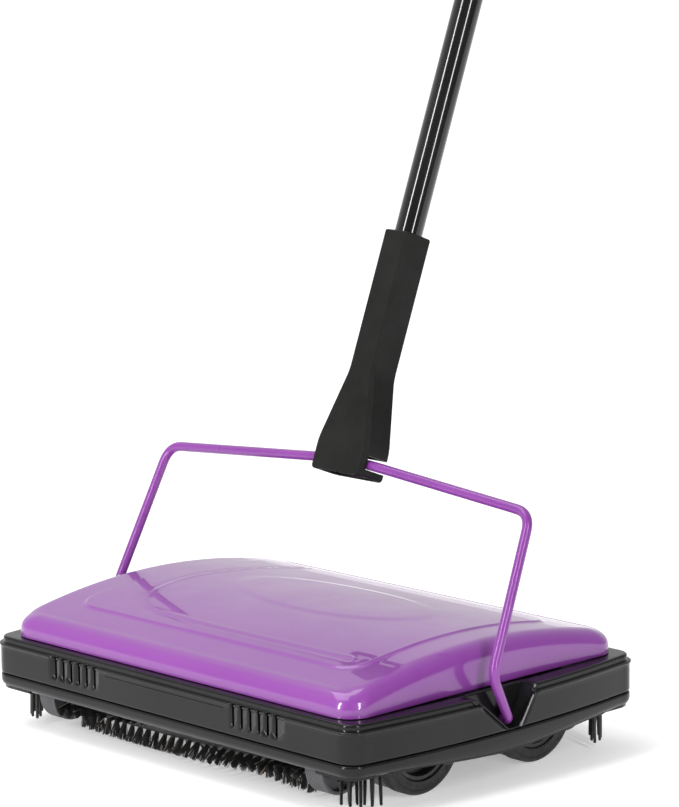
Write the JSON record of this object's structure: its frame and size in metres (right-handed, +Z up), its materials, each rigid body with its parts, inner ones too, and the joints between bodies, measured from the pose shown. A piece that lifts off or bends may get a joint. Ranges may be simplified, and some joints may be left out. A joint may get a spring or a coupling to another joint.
{
  "type": "carpet sweeper",
  "caption": "Push carpet sweeper: low floor head with brush rolls, wheels and hinged dust pans under a painted cover, a wire bail and a long sectional handle.",
  "frame": {"origin": "centre of the whole object's bounding box, on the floor that the tyres stand on", "axes": "+Z up, +X to the object's right seen from the front, -Y towards the front edge that is pushed ahead, +Y towards the person holding the handle"},
  "size_m": [0.2954, 0.4678, 0.9971],
  "materials": {
    "cover_paint": "gloss",
    "bail_paint": "gloss",
    "housing_plastic": "gloss",
    "tray_plastic": "satin",
    "bristle": "matte",
    "tyre_rubber": "matte",
    "hub_plastic": "satin",
    "pin_steel": "satin",
    "screw_steel": "satin",
    "drum_plastic": "satin",
    "core_plastic": "matte",
    "pan_plastic": "satin",
    "bush_plastic": "satin",
    "socket_plastic": "matte",
    "tube_lacquer": "gloss",
    "joint_plastic": "satin",
    "grip_foam": "matte"
  },
  "bodies": {
    "head": {"top_cover": "cover_paint", "upper_housing": "housing_plastic", "lower_tray": "tray_plastic", "corner_brush_front_left": "bristle", "corner_brush_front_right": "bristle", "corner_brush_rear_left": "bristle", "corner_brush_rear_right": "bristle", "axle_front_left": "pin_steel", "axle_front_right": "pin_steel", "axle_rear_left": "pin_steel", "axle_rear_right": "pin_steel", "roll_shaft_front": "pin_steel", "roll_shaft_rear": "pin_steel", "pan_hinge_rod": "pin_steel", "bail_bush_left": "bush_plastic", "bail_bush_right": "bush_plastic", "tray_screw_front_left": "screw_steel", "tray_screw_front_right": "screw_steel", "tray_screw_rear_left": "screw_steel", "tray_screw_rear_right": "screw_steel"},
    "handle": {"bail": "bail_paint", "handle_socket": "socket_plastic", "tube_lower": "tube_lacquer", "tube_middle": "tube_lacquer", "tube_upper": "tube_lacquer", "screw_end_lower": "joint_plastic", "screw_end_middle": "joint_plastic", "nut_insert_middle": "joint_plastic", "nut_insert_upper": "joint_plastic", "grip": "grip_foam", "hang_cap": "joint_plastic"},
    "front_roll": {"roll_core_front": "core_plastic", "roll_bristles_front": "bristle", "roll_drum_front_left": "drum_plastic", "roll_drum_front_right": "drum_plastic"},
    "rear_roll": {"roll_core_rear": "core_plastic", "roll_bristles_rear": "bristle", "roll_drum_rear_left": "drum_plastic", "roll_drum_rear_right": "drum_plastic"},
    "wheel_front_left": {"wheel_hub_front_left": "hub_plastic", "tyre_front_left": "tyre_rubber"},
    "wheel_front_right": {"wheel_hub_front_right": "hub_plastic", "tyre_front_right": "tyre_rubber"},
    "wheel_rear_left": {"wheel_hub_rear_left": "hub_plastic", "tyre_rear_left": "tyre_rubber"},
    "wheel_rear_right": {"wheel_hub_rear_right": "hub_plastic", "tyre_rear_right": "tyre_rubber"},
    "pan_front": {"dust_pan_front": "pan_plastic"},
    "pan_rear": {"dust_pan_rear": "pan_plastic"}
  },
  "joints": [
    {"name": "front_roll_spin", "type": "hinge", "parent": "head", "child": "front_roll", "pos_m": [0, -0.21117, 0.02], "axis": [1, 0, 0], "continuous": true},
    {"name": "rear_roll_spin", "type": "hinge", "parent": "head", "child": "rear_roll", "pos_m": [0, -0.04317, 0.02], "axis": [1, 0, 0], "continuous": true},
    {"name": "wheel_front_left_spin", "type": "hinge", "parent": "head", "child": "wheel_front_left", "pos_m": [-0.115, -0.16957, 0.0283], "axis": [1, 0, 0], "continuous": true},
    {"name": "wheel_front_right_spin", "type": "hinge", "parent": "head", "child": "wheel_front_right", "pos_m": [0.115, -0.16957, 0.0283], "axis": [1, 0, 0], "continuous": true},
    {"name": "wheel_rear_left_spin", "type": "hinge", "parent": "head", "child": "wheel_rear_left", "pos_m": [-0.115, -0.08477, 0.0283], "axis": [1, 0, 0], "continuous": true},
    {"name": "wheel_rear_right_spin", "type": "hinge", "parent": "head", "child": "wheel_rear_right", "pos_m": [0.115, -0.08477, 0.0283], "axis": [1, 0, 0], "continuous": true},
    {"name": "pan_front_open", "type": "hinge", "parent": "head", "child": "pan_front", "pos_m": [0, -0.12717, 0.0196], "axis": [1, 0, 0], "range_deg": [0, 58]},
    {"name": "pan_rear_open", "type": "hinge", "parent": "head", "child": "pan_rear", "pos_m": [0, -0.12717, 0.0196], "axis": [-1, 0, 0], "range_deg": [0, 58]},
    {"name": "handle_swing", "type": "hinge", "parent": "head", "child": "handle", "pos_m": [0, -0.12397, 0.0326], "axis": [-1, 0, 0], "range_deg": [-20, 55]}
  ],
  "couplings": [
    {"joint": "wheel_front_left_spin", "follows": "front_roll_spin", "ratio": -0.53163},
    {"joint": "wheel_front_right_spin", "follows": "front_roll_spin", "ratio": -0.53163},
    {"joint": "wheel_rear_left_spin", "follows": "rear_roll_spin", "ratio": -0.53163},
    {"joint": "wheel_rear_right_spin", "follows": "rear_roll_spin", "ratio": -0.53163}
  ]
}
